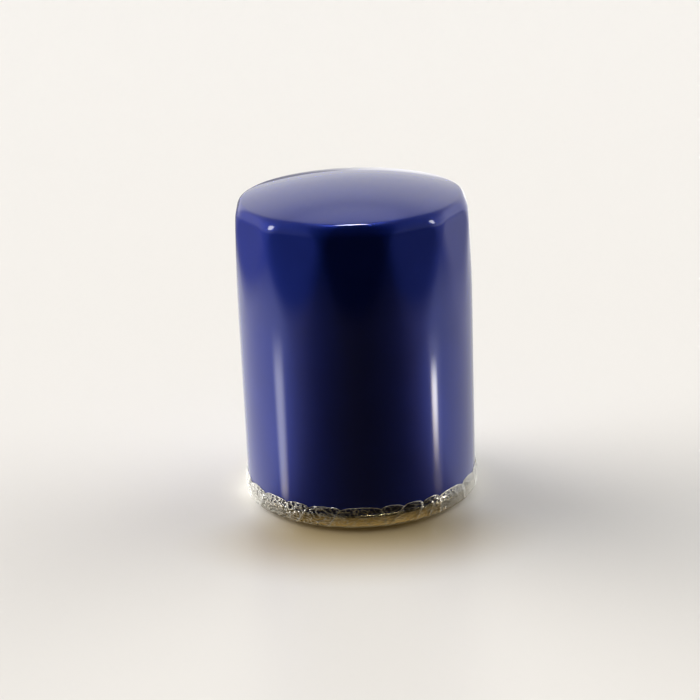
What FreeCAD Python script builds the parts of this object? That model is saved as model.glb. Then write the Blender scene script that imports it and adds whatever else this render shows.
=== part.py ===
"""Spin-on oil filter: a fluted, domed steel can, double seamed to a lid and threaded base plate, with its
filter element, valves and springs inside and a clear shrink film over its open end.

Millimetres, +Z up. The filter stands on its film with the dome at the top. Z is the filter's axis, and the
origin is where the axis meets the surface it stands on. The middle of one flute faces -Y.
"""
import FreeCAD, Part
import os
from math import atan2, cos, pi, sin, sqrt, tan

V = FreeCAD.Vector
AXIS = V(0, 0, 1)

# ---- Driving dimensions ---------------------------------------------------------------------------------
# Can
can_od = 80.0
can_wall = 0.45
overall_height = 110.4
shoulder_drop = 10.4        # from the crown of the dome down to where the side wall starts to curve
shoulder_radius = 5.7
flute_count = 12
flute_depth = 1.3           # from the round wall in to the middle of a flat, at the shoulder
flute_length = 25.0         # from the shoulder down to where a flat runs out into the round wall

# Double seam between can and lid
seam_stand_out = 0.5        # of the seam beyond the can's wall, on the radius
seam_height = 4.0
seam_play = 0.03            # between two layers of sheet
seam_bend = 0.4             # bend radius at the middle of the sheet
hook_overlap_gap = 0.3      # from the end of the lid's hook to the can's bend
compound_depth = 0.45       # sealing compound in the lid's curl
compound_room = 0.75        # from the end of the can's hook to the curl
neck_height = 1.4           # over which the can widens above the seam
neck_start = 0.3            # straight wall between the seam and the neck

# Seaming lid and sealing gasket
lid_wall = 0.4
gasket_width = 4.5
gasket_inset = 2.78         # from the lid's inner wall to the gasket, on the radius
gasket_height = 5.7
gasket_proud = 1.3          # how far the gasket stands out below the seam
gasket_play = 0.15          # between the gasket and each side of its groove
gasket_edge = 0.3
groove_depth = 1.4
lid_bend = 0.45

# Threaded base plate
plate_thickness = 3.4
plate_play = 0.6            # between the plate's rim and the lid's inner wall, measured on the radius
thread_minor_d = 17.5       # 3/4-16 UNF internal thread, at the crests
collar_od = 25.0
collar_height = 6.0
collar_chamfer = 0.8
inlet_count = 8
inlet_d = 6.0
inlet_circle_d = 40.0

# Anti-drain-back valve
valve_play = 0.1            # between its sleeve and the collar
valve_sleeve_wall = 2.2
valve_over_collar = 0.4     # sleeve above the end of the collar, which carries the element
valve_skirt_wall = 1.2
valve_skirt_rise = 3.6      # underside of the skirt where it leaves the sleeve
valve_lip_past_inlets = 4.0
valve_lip_width = 1.4

# Filter element
element_gap = 6.5           # between the element and the can's outside, on the radius
element_drop = 13.4         # from the crown of the dome down to the top of the element
cap_wall = 0.35
cap_rim = 4.0
cap_bend = 0.6
potting_depth = 2.0
fit_play = 0.08             # between pieces of the element that fit in each other
tube_od = 31.0
tube_wall = 0.5
tube_hole_d = 5.0
tube_hole_columns = 8
tube_hole_pitch = 8.5
lower_cap_hole_d = 24.6
pleat_count = 60
paper_wall = 0.45
pleat_fold_half_width = 0.55
pleat_valley_half_gap = 0.1
clip_wall = 0.3
clip_depth = 5.0
clip_play = 0.03            # between the clip's open edges and the pleat, which it grips

# Bypass valve in the upper end cap
seat_bore_d = 15.0
seat_od = 27.0
seat_wall = 0.8
seat_lip_d = 20.0
seat_lip_height = 0.6
poppet_d = 19.0
poppet_wall = 1.0
poppet_stem_d = 3.6
poppet_stem_length = 11.0
bypass_seal_wall = 1.0
bypass_seal_id = 12.0
bypass_seal_play = 0.05     # between the closed seal and the seat's lip
cage_id = 21.6
cage_wall = 0.5
cage_depth = 17.0
cage_hole_d = 6.0
cage_window_width = 6.0
cage_window_count = 4
cage_window_margin = 2.5
bypass_travel = 3.0
spring_wire_d = 1.1
spring_mean_d = 13.6
spring_turns = 5.5

# Leaf spring between the dome and the element
leaf_wall = 0.6
leaf_ring_id = 21.0
leaf_ring_od = 31.0
leaf_arm_count = 4
leaf_arm_width = 8.0
leaf_inset = 13.0           # from the can's outside in to where an arm meets the dome, on the radius
leaf_foot = 3.0
leaf_play = 0.1
leaf_bend = 1.5

# Shrink film
film_wall = 0.12
film_play = 0.25
film_above_neck = 1.2
film_bend = 0.4


# ---- Sizes that follow from them ------------------------------------------------------------------------
can_r = can_od / 2
seam_r = can_r + seam_stand_out

gasket_z0 = film_wall + film_play
seam_z0 = gasket_z0 + gasket_proud
seam_z1 = seam_z0 + seam_height
groove_z = gasket_z0 + gasket_height
lid_flat_z = groove_z - groove_depth
plate_z0 = groove_z + lid_wall
plate_z1 = plate_z0 + plate_thickness

# radii of the middles of the five layers of the seam, from the outside in
curl_r = seam_r - lid_wall / 2
can_hook_r = curl_r - lid_wall / 2 - seam_play - can_wall / 2
lid_hook_r = can_hook_r - can_wall / 2 - seam_play - lid_wall / 2
can_foot_r = lid_hook_r - lid_wall / 2 - seam_play - can_wall / 2
lid_inner_r = can_foot_r - can_wall / 2 - seam_play - lid_wall / 2
gasket_r1 = lid_inner_r - lid_wall / 2 - gasket_inset
gasket_r0 = gasket_r1 - gasket_width
can_hook_z = seam_z1 - lid_wall - compound_room
can_bend_z = seam_z0 + lid_wall + seam_play + can_wall / 2
neck_z0 = seam_z1 + neck_start
neck_z1 = neck_z0 + neck_height

shoulder_z = overall_height - shoulder_drop
flute_z0 = shoulder_z - flute_length
flute_slope = flute_depth / flute_length
dome_r = (shoulder_drop ** 2 - shoulder_radius ** 2 + (can_r - shoulder_radius) ** 2) / (
    2 * (shoulder_drop - shoulder_radius))
dome_centre_z = overall_height - dome_r
shell_z0 = neck_z1 + 3 * can_wall

plate_r = lid_inner_r - lid_wall / 2 - plate_play
collar_z1 = plate_z1 + collar_height
valve_z1 = collar_z1 + valve_over_collar
valve_lip_r = inlet_circle_d / 2 + inlet_d / 2 + valve_lip_past_inlets

element_r = can_r - element_gap
element_z0 = valve_z1
element_z1 = overall_height - element_drop
tube_z0 = element_z0 + cap_wall
tube_z1 = element_z1 - cap_wall
media_z0 = tube_z0 + potting_depth
media_z1 = tube_z1 - potting_depth
media_r0 = tube_od / 2 + fit_play
media_r1 = element_r - cap_wall - fit_play

leaf_reach = can_r - leaf_inset

seat_z0 = element_z1 - cap_wall - seat_wall
seal_z1 = seat_z0 - seat_lip_height - bypass_seal_play
poppet_z1 = seal_z1 - bypass_seal_wall
poppet_z0 = poppet_z1 - poppet_wall
cage_floor_z = seat_z0 - cage_depth

film_r = seam_r + film_play + film_wall
film_z1 = neck_z1 + film_above_neck


# ---- Making outlines and solids -------------------------------------------------------------------------
def outline(corners):
    """A closed face in the XZ plane. Each corner is (x, z, radius), and a radius of 0 leaves it sharp."""
    points = [V(x, 0, z) for x, z, _ in corners]
    starts, ends, arcs = [], [], []
    for i, (here, corner) in enumerate(zip(points, corners)):
        before = (points[i - 1] - here).normalize()
        after = (points[(i + 1) % len(points)] - here).normalize()
        if not corner[2]:
            starts.append(here)
            ends.append(here)
            arcs.append(None)
            continue
        half = before.getAngle(after) / 2
        cut = corner[2] / tan(half)
        centre = here + (before + after).normalize() * (corner[2] / sin(half))
        middle = centre + (here - centre).normalize() * corner[2]
        starts.append(here + before * cut)
        ends.append(here + after * cut)
        arcs.append(Part.Arc(starts[-1], middle, ends[-1]).toShape())
    edges = []
    for i, arc in enumerate(arcs):
        if arc:
            edges.append(arc)
        following = starts[(i + 1) % len(starts)]
        if ends[i].distanceToPoint(following) > 1e-6:
            edges.append(Part.LineSegment(ends[i], following).toShape())
    return Part.Face(Part.Wire(edges))


def sheet(path, wall):
    """The outline of a bent sheet. path is the middle of the sheet as (x, z, bend radius)."""
    points = [V(x, 0, z) for x, z, _ in path]
    runs = [(b - a).normalize() for a, b in zip(points, points[1:])]

    def side(s):
        corners = []
        for i, (here, corner) in enumerate(zip(points, path)):
            first, second = runs[max(i - 1, 0)], runs[min(i, len(runs) - 1)]
            left = V(-first.z - second.z, 0, first.x + second.x).normalize()
            spread = left.dot(V(-second.z, 0, second.x))
            place = here + left * (s * wall / 2 / spread)
            turn = first.x * second.z - first.z * second.x
            bend = corner[2] - s * wall / 2 * (1 if turn > 0 else -1) if corner[2] else 0
            corners.append((place.x, place.z, bend))
        return corners

    return outline(side(1) + side(-1)[::-1])


def turned(face):
    return face.revolve(V(0, 0, 0), AXIS, 360)


def ring(r0, r1, z0, z1):
    return turned(outline([(r0, z0, 0), (r1, z0, 0), (r1, z1, 0), (r0, z1, 0)]))


def rod(r, z0, z1, x=0, y=0):
    return Part.makeCylinder(r, z1 - z0, V(x, y, z0), AXIS)


def around(shape, count, first_deg=0):
    copies = []
    for i in range(count):
        copy = shape.copy()
        copy.rotate(V(0, 0, 0), AXIS, first_deg + 360 * i / count)
        copies.append(copy)
    return copies


def save(shape, node):
    if not shape.isValid():
        raise ValueError(node + " is not a valid shape")
    print(f"{node:22s} solids {len(shape.Solids)}  volume {shape.Volume:10.1f} mm3")
    shape.exportStep("parts/" + node + ".step")


# ---- Can ------------------------------------------------------------------------------------------------
def dome_z(r, inset=0.0):
    """Height of the dome's crown at radius r, on a surface inset into the can."""
    return dome_centre_z + sqrt((dome_r - inset) ** 2 - r ** 2)


def domed_body(inset):
    """The can's upper body as a solid, with its side wall, shoulder and crown inset by that much."""
    side_r, bend_r, crown_r = can_r - inset, shoulder_radius - inset, dome_r - inset
    centre = V(can_r - shoulder_radius, 0, shoulder_z)
    lean = atan2(shoulder_z - dome_centre_z, centre.x)
    half = V(cos(lean / 2), 0, sin(lean / 2))
    joint = centre + V(cos(lean), 0, sin(lean)) * bend_r
    mid = (lean + pi / 2) / 2
    foot, low, high = V(0, 0, shell_z0), V(side_r, 0, shell_z0), V(side_r, 0, shoulder_z)
    top = V(0, 0, dome_centre_z + crown_r)
    crown_mid = V(cos(mid) * crown_r, 0, dome_centre_z + sin(mid) * crown_r)
    edges = [
        Part.LineSegment(foot, low).toShape(),
        Part.LineSegment(low, high).toShape(),
        Part.Arc(high, centre + half * bend_r, joint).toShape(),
        Part.Arc(joint, crown_mid, top).toShape(),
        Part.LineSegment(top, foot).toShape(),
    ]
    return turned(Part.Face(Part.Wire(edges)))


def fluted_block(inset):
    """A tapered prism with one side for each flute, that trims the body to its flats."""
    def polygon(z):
        apothem = can_r - (z - flute_z0) * flute_slope - inset
        corner_r = apothem / cos(pi / flute_count)
        turns = [(i + 0.5) * 2 * pi / flute_count for i in range(flute_count)]
        return Part.makePolygon([V(cos(a) * corner_r, sin(a) * corner_r, z) for a in turns + turns[:1]])

    return Part.makeLoft([polygon(shell_z0 - can_wall), polygon(overall_height + can_wall)], True, True)


def make_can():
    shell = domed_body(0).common(fluted_block(0)).cut(domed_body(can_wall).common(fluted_block(can_wall)))
    wall_r = can_r - can_wall / 2
    foot = turned(sheet([
        (can_hook_r, can_hook_z, 0),
        (can_hook_r, can_bend_z, seam_bend),
        (can_foot_r, can_bend_z, seam_bend),
        (can_foot_r, neck_z0, seam_bend),
        (wall_r, neck_z1, seam_bend),
        (wall_r, shell_z0, 0),
    ], can_wall))
    return shell.fuse(foot).removeSplitter()


# ---- Base end: lid, compound, plate, gasket, anti-drain-back valve --------------------------------------
def make_seaming_lid():
    groove_out_r = gasket_r1 + gasket_play + lid_wall / 2
    groove_in_r = gasket_r0 - gasket_play - lid_wall / 2
    return turned(sheet([
        (lid_hook_r, can_bend_z + can_wall / 2 + hook_overlap_gap, 0),
        (lid_hook_r, seam_z1 - lid_wall / 2, seam_bend),
        (curl_r, seam_z1 - lid_wall / 2, seam_bend),
        (curl_r, seam_z0 + lid_wall / 2, seam_bend),
        (lid_inner_r, seam_z0 + lid_wall / 2, seam_bend),
        (lid_inner_r, lid_flat_z + lid_wall / 2, lid_bend),
        (groove_out_r, lid_flat_z + lid_wall / 2, lid_bend),
        (groove_out_r, groove_z + lid_wall / 2, lid_bend),
        (groove_in_r, groove_z + lid_wall / 2, lid_bend),
        (groove_in_r, lid_flat_z, 0),
    ], lid_wall))


def make_seam_compound():
    return ring(lid_hook_r + lid_wall / 2 + seam_play, curl_r - lid_wall / 2 - seam_play,
                can_hook_z + seam_play, can_hook_z + seam_play + compound_depth)


def make_base_plate():
    plate = turned(outline([
        (thread_minor_d / 2, plate_z0, 0),
        (plate_r, plate_z0, 0),
        (plate_r, plate_z1, collar_chamfer),
        (collar_od / 2, plate_z1, 0),
        (collar_od / 2, collar_z1, collar_chamfer),
        (thread_minor_d / 2, collar_z1, 0),
    ]))
    inlet = rod(inlet_d / 2, plate_z0 - 1, plate_z1 + 1, inlet_circle_d / 2)
    return plate.cut(around(inlet, inlet_count))


def make_gasket():
    return turned(outline([
        (gasket_r0, gasket_z0, gasket_edge),
        (gasket_r1, gasket_z0, gasket_edge),
        (gasket_r1, groove_z, gasket_edge),
        (gasket_r0, groove_z, gasket_edge),
    ]))


def make_drainback_valve():
    bore_r = collar_od / 2 + valve_play
    sleeve_r = bore_r + valve_sleeve_wall
    lip_in_r = valve_lip_r - valve_lip_width
    return turned(outline([
        (bore_r, plate_z1, 0),
        (sleeve_r, plate_z1, 0),
        (sleeve_r, plate_z1 + valve_skirt_rise, 0.3),
        (lip_in_r, plate_z1, 0),
        (valve_lip_r, plate_z1, 0),
        (valve_lip_r, plate_z1 + valve_skirt_wall / 2, 0.3),
        (sleeve_r, plate_z1 + valve_skirt_rise + valve_skirt_wall, 0.4),
        (sleeve_r, valve_z1, 0),
        (bore_r, valve_z1, 0),
    ]))


# ---- Filter element -------------------------------------------------------------------------------------
def end_cap(hole_r, floor_z, up):
    """A dished cap whose floor starts at floor_z and whose rim stands up or down from it."""
    rim_r = element_r - cap_wall / 2
    level = floor_z + up * cap_wall / 2
    return turned(sheet([
        (hole_r, level, 0),
        (rim_r, level, cap_bend),
        (rim_r, floor_z + up * cap_rim, 0),
    ], cap_wall))


def potting(cap_z, media_z):
    """Cast into a cap between its rim and the centre tube, from the cap's floor to the end of the paper."""
    return turned(outline([
        (media_r0, cap_z, 0),
        (media_r1, cap_z, cap_bend),
        (media_r1, media_z, 0),
        (media_r0, media_z, 0),
    ]))


def make_pleated_media():
    half_pitch = pi / pleat_count

    def boundary(out_r, out_half, in_r, in_half):
        points = []
        for i in range(pleat_count):
            tip, valley = 2 * i * half_pitch, (2 * i + 1) * half_pitch
            for r, a in ((out_r, tip - out_half), (out_r, tip + out_half),
                         (in_r, valley - in_half), (in_r, valley + in_half)):
                points.append(V(r * cos(a), r * sin(a), media_z0))
        return Part.makePolygon(points + points[:1])

    valley_r = media_r0 + paper_wall
    fold_r = media_r1 - paper_wall
    outer = boundary(media_r1, pleat_fold_half_width / media_r1, valley_r, pleat_valley_half_gap / valley_r)
    inner = boundary(fold_r, (pleat_fold_half_width - paper_wall) / fold_r,
                     media_r0, (pleat_valley_half_gap + paper_wall) / media_r0)
    band = Part.Face(outer).cut(Part.Face(inner))
    return band.extrude(V(0, 0, media_z1 - media_z0))


def make_media_seam_clip():
    """A folded strip over the tip of the pleat where the two ends of the paper meet, between the cap rims."""
    tip_r = media_r1 + fit_play
    open_r = tip_r + clip_wall - clip_depth
    valley_r = media_r0 + paper_wall
    valley_half = valley_r * sin(pi / pleat_count) - pleat_valley_half_gap
    spread = (valley_half - pleat_fold_half_width) / (media_r1 - valley_r)
    half = pleat_fold_half_width + spread * (media_r1 - open_r) + clip_play
    low, high = element_z0 + cap_rim + fit_play, element_z1 - cap_rim - fit_play
    channel = Part.makeBox(clip_depth, 2 * (half + clip_wall), high - low)
    channel.translate(V(open_r, -half - clip_wall, low))
    space = Part.makeBox(clip_depth, 2 * half, high - low)
    space.translate(V(tip_r - clip_depth, -half, low))
    return channel.cut(space)


def make_center_tube():
    tube = ring(tube_od / 2 - tube_wall, tube_od / 2, tube_z0, tube_z1)
    rows = int((media_z1 - media_z0 - tube_hole_d) // tube_hole_pitch)
    first_z = (media_z0 + media_z1 - (rows - 1) * tube_hole_pitch) / 2
    holes = []
    for row in range(rows):
        hole = Part.makeCylinder(tube_hole_d / 2, tube_od, V(0, 0, first_z + row * tube_hole_pitch), V(1, 0, 0))
        holes += around(hole, tube_hole_columns, (row % 2) * 180 / tube_hole_columns)
    return tube.cut(holes)


# ---- Bypass valve ---------------------------------------------------------------------------------------
def make_bypass_seat():
    """A pressed ring under the upper cap. Its lip points down at the seal."""
    lip_r = seat_lip_d / 2
    lip_in_r = seat_bore_d / 2
    return turned(outline([
        (lip_in_r, seat_z0 - seat_lip_height, 0),
        (lip_in_r + seat_wall, seat_z0 - seat_lip_height, 0),
        (lip_r, seat_z0, 0),
        (seat_od / 2, seat_z0, 0),
        (seat_od / 2, seat_z0 + seat_wall, 0),
        (lip_in_r, seat_z0 + seat_wall, 0),
    ]))


def make_bypass_seal():
    return ring(bypass_seal_id / 2, poppet_d / 2, poppet_z1, seal_z1)


def make_bypass_poppet():
    """A disc that carries the seal around a low boss, with a stem down the inside of its spring."""
    boss_r = bypass_seal_id / 2 - fit_play
    stem_r = poppet_stem_d / 2
    return turned(outline([
        (0, poppet_z0 - poppet_stem_length, 0),
        (stem_r, poppet_z0 - poppet_stem_length, 0.5),
        (stem_r, poppet_z0, 0),
        (poppet_d / 2, poppet_z0, 0),
        (poppet_d / 2, poppet_z1, 0),
        (boss_r, poppet_z1, 0),
        (boss_r, seal_z1, 0.3),
        (0, seal_z1, 0),
    ]))


def make_bypass_cage():
    """A deep cup hung from the seat, open at its sides and floor to let the oil through."""
    wall_r = cage_id / 2 + cage_wall / 2
    cup = turned(sheet([
        (cage_hole_d / 2, cage_floor_z + cage_wall / 2, 0),
        (wall_r, cage_floor_z + cage_wall / 2, 0.8),
        (wall_r, seat_z0 - cage_wall / 2, 0.8),
        (seat_od / 2, seat_z0 - cage_wall / 2, 0),
    ], cage_wall))
    low = cage_floor_z + cage_wall + cage_window_margin
    high = seat_z0 - cage_wall - cage_window_margin
    window = Part.makeBox(seat_od / 2, cage_window_width, high - low)
    window.translate(V(spring_mean_d / 2, -cage_window_width / 2, low))
    return cup.cut(around(window, cage_window_count))


def make_bypass_spring():
    """A coil between the cage's floor and the poppet."""
    wire_r = spring_wire_d / 2
    low = cage_floor_z + cage_wall + wire_r
    rise = poppet_z0 - wire_r - low
    path = Part.makeHelix(rise / spring_turns, rise, spring_mean_d / 2)
    path.translate(V(0, 0, low))
    circle = Part.makeCircle(wire_r, V(spring_mean_d / 2, 0, low), V(0, 1, 0))
    return Part.Wire(path.Edges).makePipeShell([Part.Wire(circle)], True, True)


# ---- Element spring and film ----------------------------------------------------------------------------
def make_element_spring():
    """A flat ring with arms that bow up and press on the inside of the dome."""
    flat = ring(leaf_ring_id / 2, leaf_ring_od / 2, element_z1, element_z1 + leaf_wall)
    level = element_z1 + leaf_wall / 2
    tip_z = dome_z(leaf_reach + leaf_foot, can_wall) - leaf_play - leaf_wall
    profile = sheet([
        ((leaf_ring_id + leaf_ring_od) / 4, level, 0),
        (leaf_ring_od / 2 + leaf_bend, level, leaf_bend),
        (leaf_reach, tip_z, leaf_bend),
        (leaf_reach + leaf_foot, tip_z, 0),
    ], leaf_wall)
    profile.translate(V(0, -leaf_arm_width / 2, 0))
    arm = profile.extrude(V(0, leaf_arm_width, 0))
    return flat.fuse(around(arm, leaf_arm_count, 180 / leaf_arm_count)).removeSplitter()


def make_shrink_film():
    edge_r = film_r - film_wall / 2
    return turned(sheet([
        (0, film_wall / 2, 0),
        (gasket_r1 + film_play, film_wall / 2, film_bend),
        (edge_r, seam_z0 - film_play, film_bend),
        (edge_r, film_z1, 0),
    ], film_wall))


# ---- Every piece ----------------------------------------------------------------------------------------
os.makedirs("parts", exist_ok=True)

save(make_can(), "can")
save(make_seaming_lid(), "seaming_lid")
save(make_seam_compound(), "seam_compound")
save(make_base_plate(), "base_plate")
save(make_gasket(), "sealing_gasket")
save(make_drainback_valve(), "anti_drainback_valve")
save(end_cap(lower_cap_hole_d / 2, element_z0, 1), "lower_end_cap")
save(potting(tube_z0, media_z0), "lower_potting")
save(make_pleated_media(), "pleated_media")
save(make_media_seam_clip(), "media_seam_clip")
save(make_center_tube(), "center_tube")
save(potting(tube_z1, media_z1), "upper_potting")
save(end_cap(seat_bore_d / 2, element_z1, -1), "upper_end_cap")
save(make_bypass_seat(), "bypass_seat")
save(make_bypass_cage(), "bypass_cage")
save(make_bypass_poppet(), "bypass_poppet")
save(make_bypass_seal(), "bypass_seal")
save(make_bypass_spring(), "bypass_spring")
save(make_element_spring(), "element_spring")
save(make_shrink_film(), "shrink_film")
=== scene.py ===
"""A spin-on oil filter: deep blue fluted can, bright seamed lid, and crinkled clear film over its open end.
Metres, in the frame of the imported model: +Z up the filter's axis, and the middle of one flute faces -Y."""
import bmesh, bpy, random
from math import atan2, cos, exp, hypot, pi, radians, sin, sqrt, tan
from mathutils import Matrix, Vector, noise


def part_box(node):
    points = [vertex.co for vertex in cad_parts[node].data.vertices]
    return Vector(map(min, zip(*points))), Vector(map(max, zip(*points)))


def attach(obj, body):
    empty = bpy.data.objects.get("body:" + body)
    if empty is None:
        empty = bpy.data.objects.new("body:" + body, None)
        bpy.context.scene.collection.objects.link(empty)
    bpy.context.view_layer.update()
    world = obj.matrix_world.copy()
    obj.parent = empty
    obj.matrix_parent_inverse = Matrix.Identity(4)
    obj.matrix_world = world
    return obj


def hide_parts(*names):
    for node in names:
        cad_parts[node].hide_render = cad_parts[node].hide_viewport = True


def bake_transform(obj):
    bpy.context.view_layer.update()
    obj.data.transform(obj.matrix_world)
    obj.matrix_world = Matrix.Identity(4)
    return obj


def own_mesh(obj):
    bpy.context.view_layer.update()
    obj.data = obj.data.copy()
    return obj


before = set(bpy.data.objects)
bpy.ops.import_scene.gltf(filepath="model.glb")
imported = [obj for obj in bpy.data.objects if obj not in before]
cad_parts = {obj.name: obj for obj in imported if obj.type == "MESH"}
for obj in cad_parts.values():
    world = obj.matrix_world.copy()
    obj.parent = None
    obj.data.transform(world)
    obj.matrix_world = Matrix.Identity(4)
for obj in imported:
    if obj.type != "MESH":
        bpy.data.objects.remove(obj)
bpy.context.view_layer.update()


# ---- Can ------------------------------------------------------------------------------------------------
# One deep-drawn sheet steel shell, painted in deep blue gloss enamel. Twelve flats are pressed into its
# shoulder for a cap wrench, and its open end is necked in and rolled into the double seam with the lid.
mm = 0.001
can_r, can_wall, can_top = 40.0 * mm, 0.45 * mm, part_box("can")[1].z
shoulder_z, shoulder_bend = can_top - 9.6 * mm, 4.8 * mm
flute_count, flute_depth, flute_length = 12, 1.3 * mm, 25.0 * mm
ridge_softness, corner_softness = 0.5 * mm, 2.8 * mm
crown_flat_r, shoulder_flat_r = 36.2 * mm, 39.8 * mm      # the flats fade in from one to the other
press_blend = 10.0 * mm                                   # how far below the flats the press reaches
seam_low, seam_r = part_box("seaming_lid")[0].z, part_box("seaming_lid")[1].x
seam_top = seam_low + 4.0 * mm
foot_r, hook_r = 38.935 * mm, 39.845 * mm
hem_bend = 0.4 * mm
columns = 384


def rounded(path, steps=6):
    """The points of a path of (x, z, bend radius), with each bend swept as an arc."""
    points = [Vector((x, 0, z)) for x, z, _ in path]
    swept = [points[0]]
    for before, here, after, bend in zip(points, points[1:], points[2:], [p[2] for p in path[1:]]):
        back, on = (before - here).normalized(), (after - here).normalized()
        half = back.angle(on) / 2
        start, centre = here + back * (bend / tan(half)), here + (back + on).normalized() * (bend / sin(half))
        turn = pi - 2 * half
        if (centre - start).cross(back).y < 0:
            turn = -turn
        for i in range(steps + 1):
            swept.append(centre + Matrix.Rotation(turn * i / steps, 3, "Y") @ (start - centre))
    return swept + [points[-1]]


def spun(points, steps):
    """A mesh spun about the axis from a run of points in the XZ plane."""
    bm = bmesh.new()
    verts = [bm.verts.new(p) for p in points]
    edges = [bm.edges.new(pair) for pair in zip(verts, verts[1:])]
    bmesh.ops.spin(bm, geom=verts + edges, cent=(0, 0, 0), axis=(0, 0, 1), angle=2 * pi, steps=steps,
                   use_merge=True)
    bmesh.ops.remove_doubles(bm, verts=bm.verts, dist=1e-7)
    bmesh.ops.recalc_face_normals(bm, faces=bm.faces)
    return bm


def piece(name, bm, body, material, wall=0, offset=0.0):
    """A finished object from a bmesh, with a body if it rides one and a sheet thickness if it has one."""
    mesh = bpy.data.meshes.new(name)
    for face in bm.faces:
        face.smooth = True
    bm.to_mesh(mesh)
    bm.free()
    made = bpy.data.objects.new(name, mesh)
    bpy.context.scene.collection.objects.link(made)
    made.data.materials.append(material)
    if wall:
        sheet = made.modifiers.new("sheet", "SOLIDIFY")
        sheet.thickness = wall
        sheet.offset = offset
        sheet.use_even_offset = wall > 0.1 * mm
    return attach(made, body) if body else made


def shader(name):
    """A new material's nodes and links, with its Principled shader."""
    material = bpy.data.materials.new(name)
    material.use_nodes = True
    nodes, links = material.node_tree.nodes, material.node_tree.links
    return material, nodes, links, nodes["Principled BSDF"]


def speckle(nodes, links, scale, detail=2.0, stretch=(1, 1, 1)):
    """Noise on Object coordinates, in cells of about 1 / scale metres."""
    place = nodes.new("ShaderNodeTexCoord")
    mapping = nodes.new("ShaderNodeMapping")
    mapping.inputs["Scale"].default_value = stretch
    texture = nodes.new("ShaderNodeTexNoise")
    texture.inputs["Scale"].default_value = scale
    texture.inputs["Detail"].default_value = detail
    links.new(place.outputs["Object"], mapping.inputs["Vector"])
    links.new(mapping.outputs["Vector"], texture.inputs["Vector"])
    return texture


def between(nodes, links, source, low, high, start=0.3, end=0.7):
    """A colour ramp over a texture's value."""
    ramp = nodes.new("ShaderNodeValToRGB")
    ramp.color_ramp.elements[0].position, ramp.color_ramp.elements[1].position = start, end
    ramp.color_ramp.elements[0].color, ramp.color_ramp.elements[1].color = (*low, 1), (*high, 1)
    links.new(source, ramp.inputs["Fac"])
    return ramp.outputs["Color"]


def range_of(nodes, links, source, low, high):
    """A texture's value spread from low to high."""
    spread = nodes.new("ShaderNodeMapRange")
    spread.inputs["To Min"].default_value, spread.inputs["To Max"].default_value = low, high
    links.new(source, spread.inputs["Value"])
    return spread.outputs["Result"]


def bumped(nodes, links, principled, source, distance, strength=1.0):
    """Fine relief on a shader from a texture's value."""
    bump = nodes.new("ShaderNodeBump")
    bump.inputs["Distance"].default_value = distance
    bump.inputs["Strength"].default_value = strength
    links.new(source, bump.inputs["Height"])
    links.new(bump.outputs["Normal"], principled.inputs["Normal"])


enamel, nodes, links, paint = shader("blue_enamel")
paint.inputs["Metallic"].default_value = 0.5
paint.inputs["Specular Tint"].default_value = (0.10, 0.14, 0.45, 1)
paint.inputs["Coat Weight"].default_value = 1.0
paint.inputs["Coat IOR"].default_value = 1.5
paint.inputs["Coat Roughness"].default_value = 0.035
cloud = speckle(nodes, links, 60, 3)
links.new(between(nodes, links, cloud.outputs["Fac"], (0.0064, 0.0185, 0.190), (0.0074, 0.0212, 0.215)),
          paint.inputs["Base Color"])
links.new(range_of(nodes, links, cloud.outputs["Fac"], 0.40, 0.46), paint.inputs["Roughness"])
peel = speckle(nodes, links, 700, 1)
bumped(nodes, links, paint, peel.outputs["Fac"], 0.004 * mm, 0.6)

side_r = can_r - can_wall / 2
bend_r = shoulder_bend - can_wall / 2
rise = can_top - can_wall / 2 - shoulder_z
crown_r = (rise ** 2 - bend_r ** 2 + (side_r - bend_r) ** 2) / (2 * (rise - bend_r))
crown_z = shoulder_z + rise - crown_r
lean = atan2(shoulder_z - crown_z, side_r - bend_r)

foot_z = seam_low + 0.655 * mm
neck_z = seam_top + 0.3 * mm
body_z = neck_z + 4.8 * mm
profile = rounded([
    (hook_r, seam_top - 1.15 * mm, 0),
    (hook_r, foot_z, hem_bend),
    (foot_r, foot_z, hem_bend),
    (foot_r, neck_z, hem_bend),
    (side_r, neck_z + 1.4 * mm, hem_bend),
    (side_r, body_z, 0),
])
flute_z = shoulder_z - flute_length
press_z = flute_z - press_blend
body_rows, flute_rows, shoulder_rows, crown_rows = 6, 44, 20, 22
for low, high, rows in ((body_z, press_z, body_rows), (press_z, shoulder_z, flute_rows)):
    for i in range(1, rows + 1):
        profile.append(Vector((side_r, 0, low + (high - low) * i / rows)))
for i in range(1, shoulder_rows + 1):
    a = lean * i / shoulder_rows
    profile.append(Vector((side_r - bend_r + bend_r * cos(a), 0, shoulder_z + bend_r * sin(a))))
for i in range(1, crown_rows + 1):
    a = lean + (pi / 2 - lean) * i / crown_rows
    profile.append(Vector((crown_r * cos(a), 0, crown_z + crown_r * sin(a))))
profile[-1].x = 0


def smooth_min(a, b, soft):
    """The lesser of two sizes, rounded where they cross."""
    reach = max(soft - abs(a - b), 0) / soft
    return min(a, b) - reach * reach * soft / 4


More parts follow.
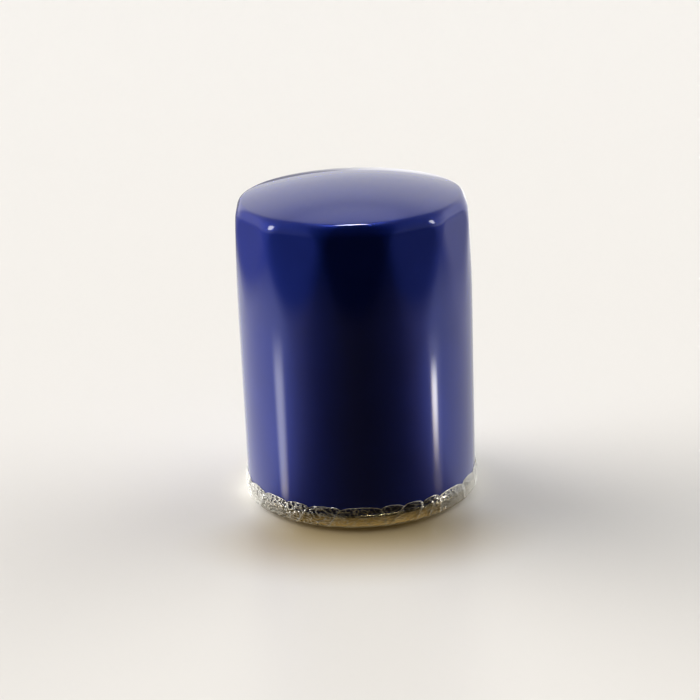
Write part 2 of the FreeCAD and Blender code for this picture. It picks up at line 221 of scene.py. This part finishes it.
def pressed(point):
    """Where a point of the round shell goes when the flats are pressed in, up into the shoulder."""
    r, turn = hypot(point.x, point.y), atan2(point.y, point.x)
    if r < crown_flat_r or point.z < press_z:
        return point
    pitch = 2 * pi / flute_count
    turn += 0.5 / flute_count * sin(flute_count * turn)      # more columns near the ridges
    apothem = side_r - min(point.z - flute_z, flute_length) * flute_depth / flute_length
    own = (turn + pitch / 2) % pitch - pitch / 2
    high = max(0, min(1, (point.z - shoulder_z + 6 * mm) / (8 * mm)))
    soft = ridge_softness + (corner_softness - ridge_softness) * high * high
    flat = smooth_min(apothem / cos(own), apothem / cos(pitch - abs(own)), soft)
    wall = smooth_min(side_r, flat, ridge_softness)
    share = min(1, (r - crown_flat_r) / (shoulder_flat_r - crown_flat_r))
    r *= 1 + (wall / side_r - 1) * share * share * (3 - 2 * share)
    return Vector((r * cos(turn), r * sin(turn), point.z))


shell = spun(profile, columns)
for vert in shell.verts:
    vert.co = pressed(vert.co)
can = piece("can_shell", shell, "filter", enamel, can_wall)
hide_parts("can")


# ---- Seaming lid ----------------------------------------------------------------------------------------
# A ring of thin bright plated steel. Its rim is rolled round the can's flange into the double seam, a
# pressed groove holds the gasket, and the top of the groove is spot welded to the base plate.
plated, nodes, links, steel = shader("plated_steel")
steel.inputs["Metallic"].default_value = 1.0
brush = speckle(nodes, links, 90, 4, (1, 1, 12))
links.new(between(nodes, links, brush.outputs["Fac"], (0.72, 0.60, 0.35), (0.82, 0.71, 0.47)),
          steel.inputs["Base Color"])
links.new(range_of(nodes, links, brush.outputs["Fac"], 0.18, 0.34), steel.inputs["Roughness"])
bumped(nodes, links, steel, brush.outputs["Fac"], 0.01 * mm, 0.5)


def finish(material, *nodes):
    """Puts a material on pieces that keep their own mesh."""
    for node in nodes:
        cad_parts[node].material_slots[0].material = material


finish(plated, "seaming_lid")


# ---- Seam compound and sealing gasket -------------------------------------------------------------------
# Black rubber. The compound is poured into the lid's curl before it is rolled, and the square gasket is
# pressed into the lid's groove, where it stands out to meet the engine.
black_rubber, nodes, links, rubber = shader("black_rubber")
grain = speckle(nodes, links, 900, 3)
links.new(between(nodes, links, grain.outputs["Fac"], (0.012, 0.012, 0.013), (0.03, 0.03, 0.031)),
          rubber.inputs["Base Color"])
links.new(range_of(nodes, links, grain.outputs["Fac"], 0.4, 0.6), rubber.inputs["Roughness"])
bumped(nodes, links, rubber, grain.outputs["Fac"], 0.02 * mm)
finish(black_rubber, "seam_compound", "sealing_gasket")


# ---- Base plate -----------------------------------------------------------------------------------------
# Thick pressed steel under the lid, plated like it, with a ring of oil inlets round a threaded collar.
finish(plated, "base_plate")


# ---- Anti-drain-back valve ------------------------------------------------------------------------------
# A soft rubber cone that closes the oil inlets. Its sleeve stays clamped under the element.
red_rubber, nodes, links, rubber = shader("valve_rubber")
grain = speckle(nodes, links, 900, 3)
links.new(between(nodes, links, grain.outputs["Fac"], (0.26, 0.05, 0.02), (0.36, 0.08, 0.035)),
          rubber.inputs["Base Color"])
links.new(range_of(nodes, links, grain.outputs["Fac"], 0.4, 0.6), rubber.inputs["Roughness"])

valve_low, valve_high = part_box("anti_drainback_valve")
sleeve_in_r, sleeve_out_r = 12.6 * mm, 14.8 * mm
lip_width, skirt_rise, skirt_wall = 1.4 * mm, 3.6 * mm, 1.2 * mm
outline = rounded([
    (sleeve_in_r, valve_low.z, 0),
    (sleeve_out_r, valve_low.z, 0),
    (sleeve_out_r, valve_low.z + skirt_rise, 0.3 * mm),
    (valve_high.x - lip_width, valve_low.z, 0),
    (valve_high.x, valve_low.z, 0),
    (valve_high.x, valve_low.z + skirt_wall / 2, 0.3 * mm),
    (sleeve_out_r, valve_low.z + skirt_rise + skirt_wall, 0.4 * mm),
    (sleeve_out_r, valve_high.z, 0),
    (sleeve_in_r, valve_high.z, 0),
    (sleeve_in_r, valve_low.z, 0),
])
valve = piece("valve_cone", spun(outline, 128), None, red_rubber)
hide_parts("anti_drainback_valve")
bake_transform(valve)


# ---- Filter element -------------------------------------------------------------------------------------
# Resin-stiffened paper in deep pleats round a perforated tube. A folded clip joins the ends of the paper,
# and cream plastisol bonds the pleats into a dished cap at each end.
finish(plated, "lower_end_cap", "upper_end_cap", "center_tube", "media_seam_clip")

plastisol, nodes, links, cast = shader("plastisol")
grain = speckle(nodes, links, 300, 3)
links.new(between(nodes, links, grain.outputs["Fac"], (0.50, 0.46, 0.36), (0.60, 0.56, 0.46)),
          cast.inputs["Base Color"])
finish(plastisol, "lower_potting", "upper_potting")

paper, nodes, links, fibre = shader("filter_paper")
fibre.inputs["Roughness"].default_value = 0.9
grain = speckle(nodes, links, 500, 6)
links.new(between(nodes, links, grain.outputs["Fac"], (0.48, 0.32, 0.12), (0.64, 0.46, 0.22)),
          fibre.inputs["Base Color"])
bumped(nodes, links, fibre, grain.outputs["Fac"], 0.05 * mm)
finish(paper, "pleated_media")


# ---- Bypass valve ---------------------------------------------------------------------------------------
# A plated poppet with a rubber seal, in a windowed cage under its seat. An open coil of round wire holds
# it shut.
finish(plated, "bypass_seat", "bypass_cage", "bypass_poppet")
finish(black_rubber, "bypass_seal")

spring_steel, nodes, links, steel = shader("spring_steel")
steel.inputs["Metallic"].default_value = 1.0
drawn = speckle(nodes, links, 400, 3)
links.new(between(nodes, links, drawn.outputs["Fac"], (0.24, 0.24, 0.26), (0.34, 0.34, 0.36)),
          steel.inputs["Base Color"])
links.new(range_of(nodes, links, drawn.outputs["Fac"], 0.3, 0.5), steel.inputs["Roughness"])

spring_low, spring_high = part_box("bypass_spring")
wire_r, coil_turns, coil_steps = 0.55 * mm, 5.5, 220
coil = bmesh.new()
wire_start = Vector((spring_high.x - wire_r, 0, spring_low.z + wire_r))
wire_at = Matrix.Translation(wire_start) @ Matrix.Rotation(pi / 2, 4, "X")
section = bmesh.ops.create_circle(coil, segments=14, radius=wire_r, matrix=wire_at)
rise_each = (spring_high.z - spring_low.z - 2 * wire_r) / coil_steps
bmesh.ops.spin(coil, geom=section["verts"] + coil.edges[:], cent=(0, 0, 0), axis=(0, 0, 1),
               dvec=(0, 0, rise_each), angle=2 * pi * coil_turns, steps=coil_steps)
bmesh.ops.remove_doubles(coil, verts=coil.verts, dist=1e-7)
bmesh.ops.holes_fill(coil, edges=coil.edges)
bmesh.ops.recalc_face_normals(coil, faces=coil.faces)
spring = piece("bypass_coil", coil, "filter", spring_steel)
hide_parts("bypass_spring")
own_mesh(spring)


# ---- Element spring -------------------------------------------------------------------------------------
# A leaf spring of dark strip that presses the element down from inside the dome.
finish(spring_steel, "element_spring")


# ---- Shrink film ----------------------------------------------------------------------------------------
# Thin clear film, shrunk by heat over the open end to keep it clean. It is flat under the gasket, tight and
# creased round the seam, and gathers in scallops where its edge clings to the can above the neck.
film, nodes, links, skin = shader("clear_film")
skin.inputs["Metallic"].default_value = 0.62
skin.inputs["Roughness"].default_value = 0.10
fresnel = nodes.new("ShaderNodeFresnel")
fresnel.inputs["IOR"].default_value = 1.38
fold = nodes.new("ShaderNodeAttribute")
fold.attribute_name = "fold"
milk = speckle(nodes, links, 700, 4)
links.new(between(nodes, links, milk.outputs["Fac"], (0.90, 0.90, 0.88), (0.97, 0.97, 0.95)),
          skin.inputs["Base Color"])


def maths(nodes, links, operation, *values, clamp=False):
    """A Math node on values that are numbers or sockets."""
    node = nodes.new("ShaderNodeMath")
    node.operation, node.use_clamp = operation, clamp
    for socket, value in zip(node.inputs, values):
        if isinstance(value, (int, float)):
            socket.default_value = value
        else:
            links.new(value, socket)
    return node.outputs[0]


milky = range_of(nodes, links, milk.outputs["Fac"], -0.04, 0.06)
glossy = maths(nodes, links, "MULTIPLY_ADD", fold.outputs["Fac"], 0.95, fresnel.outputs["Fac"], clamp=True)
seen = maths(nodes, links, "ADD", glossy, milky, clamp=True)
clear = nodes.new("ShaderNodeBsdfTransparent")
clear.inputs["Color"].default_value = (0.98, 0.98, 0.97, 1)
cover = nodes.new("ShaderNodeMixShader")
links.new(seen, cover.inputs["Fac"])
links.new(clear.outputs["BSDF"], cover.inputs[1])
links.new(skin.outputs["BSDF"], cover.inputs[2])
links.new(cover.outputs["Shader"], nodes["Material Output"].inputs["Surface"])

film_low, film_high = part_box("shrink_film")
film_wall = 0.05 * mm
film_r = film_high.x + 0.2 * mm
snug_r = seam_r + 0.12 * mm
cling_r = can_r + 0.08 * mm
ledge_z = seam_top - 0.2 * mm
edge_z = film_high.z - 0.4 * mm
crease_width, crease_core = 1.4 * mm, 0.2 * mm
small_creases = 70
lower_rows, band_rows, ledge_rows, film_columns = 5, 26, 24, 720

folds = random.Random(11)
gathers = []
turn = -pi
while turn < pi - 0.12:
    gathers.append((turn, folds.uniform(-0.16, 0.16), folds.uniform(0.6, 1.0)))
    turn += folds.uniform(0.17, 0.34)
creases = [(turn, slant, 1.0, seam_low - 0.4 * mm, edge_z + 1 * mm, strong)
           for turn, slant, strong in gathers]
for i in range(small_creases):
    turn = folds.uniform(-pi, pi)
    low = folds.uniform(1.0, 5.5) * mm
    slant, width = folds.uniform(-0.5, 0.5), folds.uniform(0.4, 0.8)
    creases.append((turn, slant, width, low, low + folds.uniform(1.0, 3.5) * mm, folds.uniform(0.3, 0.9)))


def crumple(turn):
    """How badly the film has crumpled on this side, 0 to 1."""
    return max(0, min(1, 0.55 + 1.1 * noise.noise(Vector((cos(turn) * 1.3, sin(turn) * 1.3, 2.2)))))


flat_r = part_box("sealing_gasket")[1].x
path = [Vector((flat_r * i / lower_rows, 0, film_low.z + film_wall)) for i in range(lower_rows)]
corner = [Vector((36.0 * mm, 0, film_low.z + film_wall)), Vector((38.4 * mm, 0, 0.75 * mm)),
          Vector((40.35 * mm, 0, seam_low - 0.15 * mm)), Vector((snug_r, 0, seam_low + 0.35 * mm))]
path += corner
for i in range(1, band_rows + 1):
    path.append(Vector((snug_r, 0, corner[-1].z + (ledge_z - corner[-1].z) * i / band_rows)))
for i in range(1, ledge_rows + 1):
    up = i / ledge_rows
    reach = cling_r + (snug_r - cling_r) * (1 - up) ** 1.5
    path.append(Vector((reach, 0, ledge_z + (edge_z - ledge_z) * up)))


def between_gathers(turn):
    """The height of the scallop between the two nearest gathers, 0 to 1."""
    after = next((g[0] for g in gathers if g[0] > turn), gathers[0][0] + 2 * pi)
    before = max((g[0] for g in gathers if g[0] <= turn), default=gathers[-1][0] - 2 * pi)
    across = (turn - before) / (after - before)
    return sqrt(max(4 * across * (1 - across), 0))


def nearest_crease(r, turn, z):
    """How far the creases lift the film at a point, and how sharply it is folded there, 0 to 1."""
    crest, fold = 0.0, 0.0
    for line, slant, width, low, high, strong in creases:
        off = abs((turn - line - slant * (edge_z - z) / edge_z + pi) % (2 * pi) - pi) * r
        if off < crease_width and low < z < high:
            strong *= min(1, (z - low) / (0.5 * mm), (high - z) / (0.5 * mm))
            crest = max(crest, (1 - off / (crease_width * width)) * strong)
            fold = max(fold, exp(-(off / crease_core) ** 2) * strong)
    return crest, fold


def crinkled(point):
    """Where a point of the smooth film goes when it is shrunk on, and how far it is folded there."""
    r, turn = hypot(point.x, point.y), atan2(point.y, point.x)
    if r < 37 * mm:
        return point, 0.0
    up = max(0, (point.z - ledge_z) / (edge_z - ledge_z))
    scallop = between_gathers(turn)
    crest, fold = nearest_crease(r, turn, point.z)
    bad = crumple(turn)
    ridge = 1 - 2 * abs(noise.noise(Vector((turn * 22 + point.z * 350, point.z * 800 - turn * 12, 4.0))))
    small = 1 - 2 * abs(noise.noise(Vector((turn * 48 - point.z * 500, point.z * 1300 + turn * 24, 8.0))))
    level = min(1, max(0, (point.z - 0.4 * mm) / (1.0 * mm)))
    loose = 0.35 + 0.65 * min(1, max(0, (point.z - ledge_z + 1.5 * mm) / (1.5 * mm)))
    crinkle = (0.05 + 0.30 * bad) * (ridge - 0.5) + (0.02 + 0.12 * bad) * (small - 0.5)
    out = (0.22 * crest + loose * crinkle) * mm * level
    out += 4 * up * (1 - up) * (0.30 * scallop - 0.12) * mm
    fold = max(fold * level, bad * max(0, ridge - 0.72) / 0.28 * level)
    if up > 0.93:
        fold = 1.0
    r = min(r + out, film_r)
    if point.z > seam_low:
        r = max(r, 0.04 * mm + (seam_r if point.z < seam_top else can_r))
    lift = up * up * (scallop - 0.72 + 0.25 * noise.noise(Vector((turn * 9, 0, 1.5)))) * 1.3 * mm
    return Vector((r * cos(turn), r * sin(turn), point.z + lift)), min(fold, 1.0)


cup = spun(path, film_columns)
folded = cup.verts.layers.float.new("fold")
for vert in cup.verts:
    vert.co, vert[folded] = crinkled(vert.co)
wrap = piece("film_cup", cup, "film", film, film_wall)
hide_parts("shrink_film")


# ---- Soft surround --------------------------------------------------------------------------------------
# Large soft lights stand on both sides and behind, with a few small lamps for the highlights. It is dark
# only in front of the filter, where a camera stands, and there the light is warm.
world = bpy.data.worlds.new("surround")
bpy.context.scene.world = world
world.use_nodes = True


def times(nodes, links, first, *others):
    """The product of several values."""
    for other in others:
        first = maths(nodes, links, "MULTIPLY", first, other)
    return first


def fall(nodes, links, source, start, end, low=0.0, high=1.0):
    """A smooth step of a value, from low at start to high at end."""
    step = nodes.new("ShaderNodeMapRange")
    step.interpolation_type = "SMOOTHSTEP"
    for name, value in (("From Min", start), ("From Max", end), ("To Min", low), ("To Max", high)):
        step.inputs[name].default_value = value
    links.new(source, step.inputs["Value"])
    return step.outputs["Result"]


def round_the_filter(nodes, links, direction):
    """The X, Y and Z of a direction, its distance from the axis, and the cosine of its turn from -Y."""
    split = nodes.new("ShaderNodeSeparateXYZ")
    links.new(direction, split.inputs[0])
    x, y, z = split.outputs
    squares = times(nodes, links, x, x), times(nodes, links, y, y)
    away = maths(nodes, links, "SQRT", maths(nodes, links, "ADD", *squares))
    front = times(nodes, links, maths(nodes, links, "DIVIDE", y, away), -1.0)
    return x, y, z, away, front


def stops(nodes, links, source, *values):
    """Brightness by a run of (value, brightness) stops, for a value from -1 to 1."""
    curve = nodes.new("ShaderNodeFloatCurve")
    line = curve.mapping.curves[0]
    while len(line.points) < len(values):
        line.points.new(0.5, 0.5)
    for point, (where, bright) in zip(line.points, values):
        point.location = ((where + 1) / 2, bright)
    curve.mapping.update()
    links.new(times(nodes, links, maths(nodes, links, "ADD", source, 1.0), 0.5), curve.inputs["Value"])
    return curve.outputs["Value"]


def patch(nodes, links, direction, turn, height, reach, edge, bright):
    """A soft round light seen in one direction: its turn from -Y towards +X, its height, its size."""
    turn, height = radians(turn), radians(height)
    towards = nodes.new("ShaderNodeVectorMath")
    towards.operation = "DOT_PRODUCT"
    links.new(direction, towards.inputs[0])
    towards.inputs[1].default_value = (sin(turn) * cos(height), -cos(turn) * cos(height), sin(height))
    return fall(nodes, links, towards.outputs["Value"], cos(radians(reach + edge)), cos(radians(reach)),
                0, bright)


def by_ray(nodes, links, kind, other, this):
    """One shader for one kind of ray, and another for the rest."""
    ray, mix = nodes.new("ShaderNodeLightPath"), nodes.new("ShaderNodeMixShader")
    links.new(ray.outputs[kind], mix.inputs["Fac"])
    links.new(other, mix.inputs[1])
    links.new(this, mix.inputs[2])
    return mix.outputs[0]


nodes, links = world.node_tree.nodes, world.node_tree.links
where = nodes.new("ShaderNodeTexCoord").outputs["Generated"]
x, y, z, away, front = round_the_filter(nodes, links, where)
ring = stops(nodes, links, front, (-1, 1.0), (0.0, 0.98), (0.2, 0.80), (0.4, 0.36), (0.6, 0.07), (0.72, 0.0),
             (1, 0.0))
dip = patch(nodes, links, where, -112, 12, 20, 18, -0.6)
ring = times(nodes, links, ring, maths(nodes, links, "ADD", 1.0, dip))

reflected = nodes["Background"]
lean_back = times(nodes, links, maths(nodes, links, "MAXIMUM", y, 0.0), -0.45)
bright = times(nodes, links, ring, fall(nodes, links, maths(nodes, links, "ADD", z, lean_back), 0.02, 0.56,
                                        1.0, 0.2))
for lamp in ((-84, 22, 3, 4, 11.0), (79, 22, 2, 4, 10.0), (180, 48, 5, 9, 0.5), (180, 87, 3, 5, 50.0)):
    bright = maths(nodes, links, "ADD", bright, patch(nodes, links, where, *lamp))
links.new(bright, reflected.inputs["Strength"])
reflected.inputs["Color"].default_value = (1.0, 0.99, 0.98, 1)

soft = nodes.new("ShaderNodeBackground")
soft_light = fall(nodes, links, y, -0.3, 0.3, 0.08, 0.17)
for light in ((-112, 12, 15, 30, 7.8), (110, 12, 15, 30, 4.2), (180, 42, 35, 30, 0.50)):
    soft_light = maths(nodes, links, "ADD", soft_light, patch(nodes, links, where, *light))
links.new(soft_light, soft.inputs["Strength"])
links.new(between(nodes, links, ring, (1.0, 0.66, 0.30), (1.0, 0.985, 0.955), 0.0, 0.5), soft.inputs["Color"])

plain = nodes.new("ShaderNodeBackground")
plain.inputs["Color"].default_value = (0.88, 0.85, 0.80, 1)
lit = by_ray(nodes, links, "Is Glossy Ray", soft.outputs[0], reflected.outputs[0])
links.new(by_ray(nodes, links, "Is Camera Ray", lit, plain.outputs[0]), nodes["World Output"].inputs["Surface"])


# ---- Floor ----------------------------------------------------------------------------------------------
# A pale board with a slight gloss, with a painted warm contact shadow in its colour close in front of the
# filter. To every ray but the camera's it glows instead: a painted reflection in the paint, dark in front and
# bright at the sides with the long streaks of two low lamps, and a painted bounce light, brighter on the left.
ground = bmesh.new()
bmesh.ops.create_circle(ground, cap_ends=True, segments=64, radius=6.0)
mesh = bpy.data.meshes.new("floor")
ground.to_mesh(mesh)
ground.free()
floor = bpy.data.objects.new("floor", mesh)
bpy.context.scene.collection.objects.link(floor)

pale, nodes, links, board = shader("pale_floor")
board.inputs["Roughness"].default_value = 0.28
board.inputs["Specular IOR Level"].default_value = 0.3
where = nodes.new("ShaderNodeTexCoord").outputs["Object"]
x, y, z, away, front = round_the_filter(nodes, links, where)
# Painted shadow: the board's colour darkens to warm brown close to the foot, on the front side only.
shade = times(nodes, links, fall(nodes, links, away, 0.042, 0.085, 1.0, 0.0),
              fall(nodes, links, front, 0.45, 0.95))
links.new(between(nodes, links, shade, (0.72, 0.715, 0.705), (0.42, 0.34, 0.20), 0.0, 1.0),
          board.inputs["Base Color"])

# The glow that glossy rays see is a painted reflection: dim in front, bright at the sides and behind, fading
# with distance.
near = stops(nodes, links, front, (-1, 1.0), (-0.3, 0.95), (0.0, 1.0), (0.25, 1.0), (0.35, 0.85), (0.5, 0.5),
             (0.65, 0.30), (0.77, 0.15), (0.87, 0.09), (1, 0.07))
near = times(nodes, links, near, fall(nodes, links, x, -0.03, 0.03, 0.95, 0.72))
far = stops(nodes, links, front, (-1, 1.0), (-0.8, 0.9), (-0.5, 0.4), (-0.2, 0.2), (0.2, 0.1), (0.5, 0.03),
            (1, 0.0))
far = times(nodes, links, far, fall(nodes, links, x, -0.1, 0.1, 0.3, 1.4))
distant = fall(nodes, links, away, 0.24, 0.36)
close = maths(nodes, links, "SUBTRACT", 1.0, distant)
glow = maths(nodes, links, "ADD", times(nodes, links, near, close), times(nodes, links, far, distant))
# A painted bright reflection in a ring hugging the foot.
glow = maths(nodes, links, "MAXIMUM", glow, fall(nodes, links, away, 0.044, 0.054, 0.40, 0.0))


def lamp_streak(side, heading, width, rise, drop, bright):
    """A painted reflection of a low lamp, glowing on the floor: a wedge that widens away from the filter's
    foot.
    """
    aim = (side * sin(radians(heading)), -cos(radians(heading)), 0)
    foot = (side * 0.026, -0.030, 0)
    ahead, apart = nodes.new("ShaderNodeVectorMath"), nodes.new("ShaderNodeVectorMath")
    ahead.operation = apart.operation = "DOT_PRODUCT"
    for node, axis in ((ahead, aim), (apart, (-aim[1], aim[0], 0))):
        step = nodes.new("ShaderNodeVectorMath")
        step.operation = "SUBTRACT"
        links.new(where, step.inputs[0])
        step.inputs[1].default_value = foot
        links.new(step.outputs[0], node.inputs[0])
        node.inputs[1].default_value = axis
    run = ahead.outputs["Value"]
    slope = maths(nodes, links, "DIVIDE", maths(nodes, links, "ABSOLUTE", apart.outputs["Value"]),
                  maths(nodes, links, "ADD", maths(nodes, links, "MAXIMUM", run, 0.0), 0.004))
    return times(nodes, links, fall(nodes, links, slope, width * 0.2, width * 1.4, 1.0, 0.0),
                 fall(nodes, links, run, *rise), fall(nodes, links, run, *drop, 1.0, 0.0), bright)


# Painted lamp reflections: these streaks glow on the floor for rays other than the camera's.
for streak in ((-1, 84, 0.12, (0.010, 0.03), (0.13, 0.21), 3.8),
               (1, 79, 0.075, (0.03, 0.11), (0.12, 0.165), 13.0),
               (1, 80, 0.15, (0.010, 0.03), (0.15, 0.21), 0.9)):
    glow = maths(nodes, links, "ADD", glow, lamp_streak(*streak))

# Diffuse rays see a painted bounce light from the floor instead, brighter on the left.
side_light = stops(nodes, links, front, (-1, 0.15), (-0.5, 0.45), (0.0, 1.0), (0.15, 0.9), (0.3, 0.4),
                   (0.5, 0.03), (0.7, 0.0), (1, 0.0))
bounce = times(nodes, links, side_light, fall(nodes, links, x, -0.02, 0.02, 7.5, 2.3))
diffuse = nodes.new("ShaderNodeLightPath").outputs["Is Diffuse Ray"]
reflects = maths(nodes, links, "SUBTRACT", 1.0, diffuse)
glow = maths(nodes, links, "ADD", times(nodes, links, glow, reflects), times(nodes, links, bounce, diffuse))
# The painted reflection is tinted warm where it is dim, in front of the filter.
shine = nodes.new("ShaderNodeEmission")
links.new(between(nodes, links, near, (1.0, 0.74, 0.36), (1.0, 0.985, 0.96), 0.1, 0.7), shine.inputs["Color"])
links.new(glow, shine.inputs["Strength"])
# Only the camera sees the board itself; every other ray sees the painted glow.
links.new(by_ray(nodes, links, "Is Camera Ray", shine.outputs[0], board.outputs[0]),
          nodes["Material Output"].inputs["Surface"])
floor.data.materials.append(pale)


# ---- Camera ---------------------------------------------------------------------------------------------
# A long lens a little above the filter, looking down at it and rolled slightly.
camera = bpy.data.objects.new("camera", bpy.data.cameras.new("camera"))
bpy.context.scene.collection.objects.link(camera)
bpy.context.scene.camera = camera
camera.data.sensor_width, camera.data.lens = 36, 93.5
stand = Vector((-2.4 * mm, -590.8 * mm, 261.2 * mm))
tilt, roll = radians(90 - 19.67), radians(-2.32)
camera.matrix_world = Matrix.Translation(stand) @ Matrix.Rotation(tilt, 4, "X") @ Matrix.Rotation(roll, 4, "Z")
bpy.context.scene.view_settings.view_transform = "Standard"
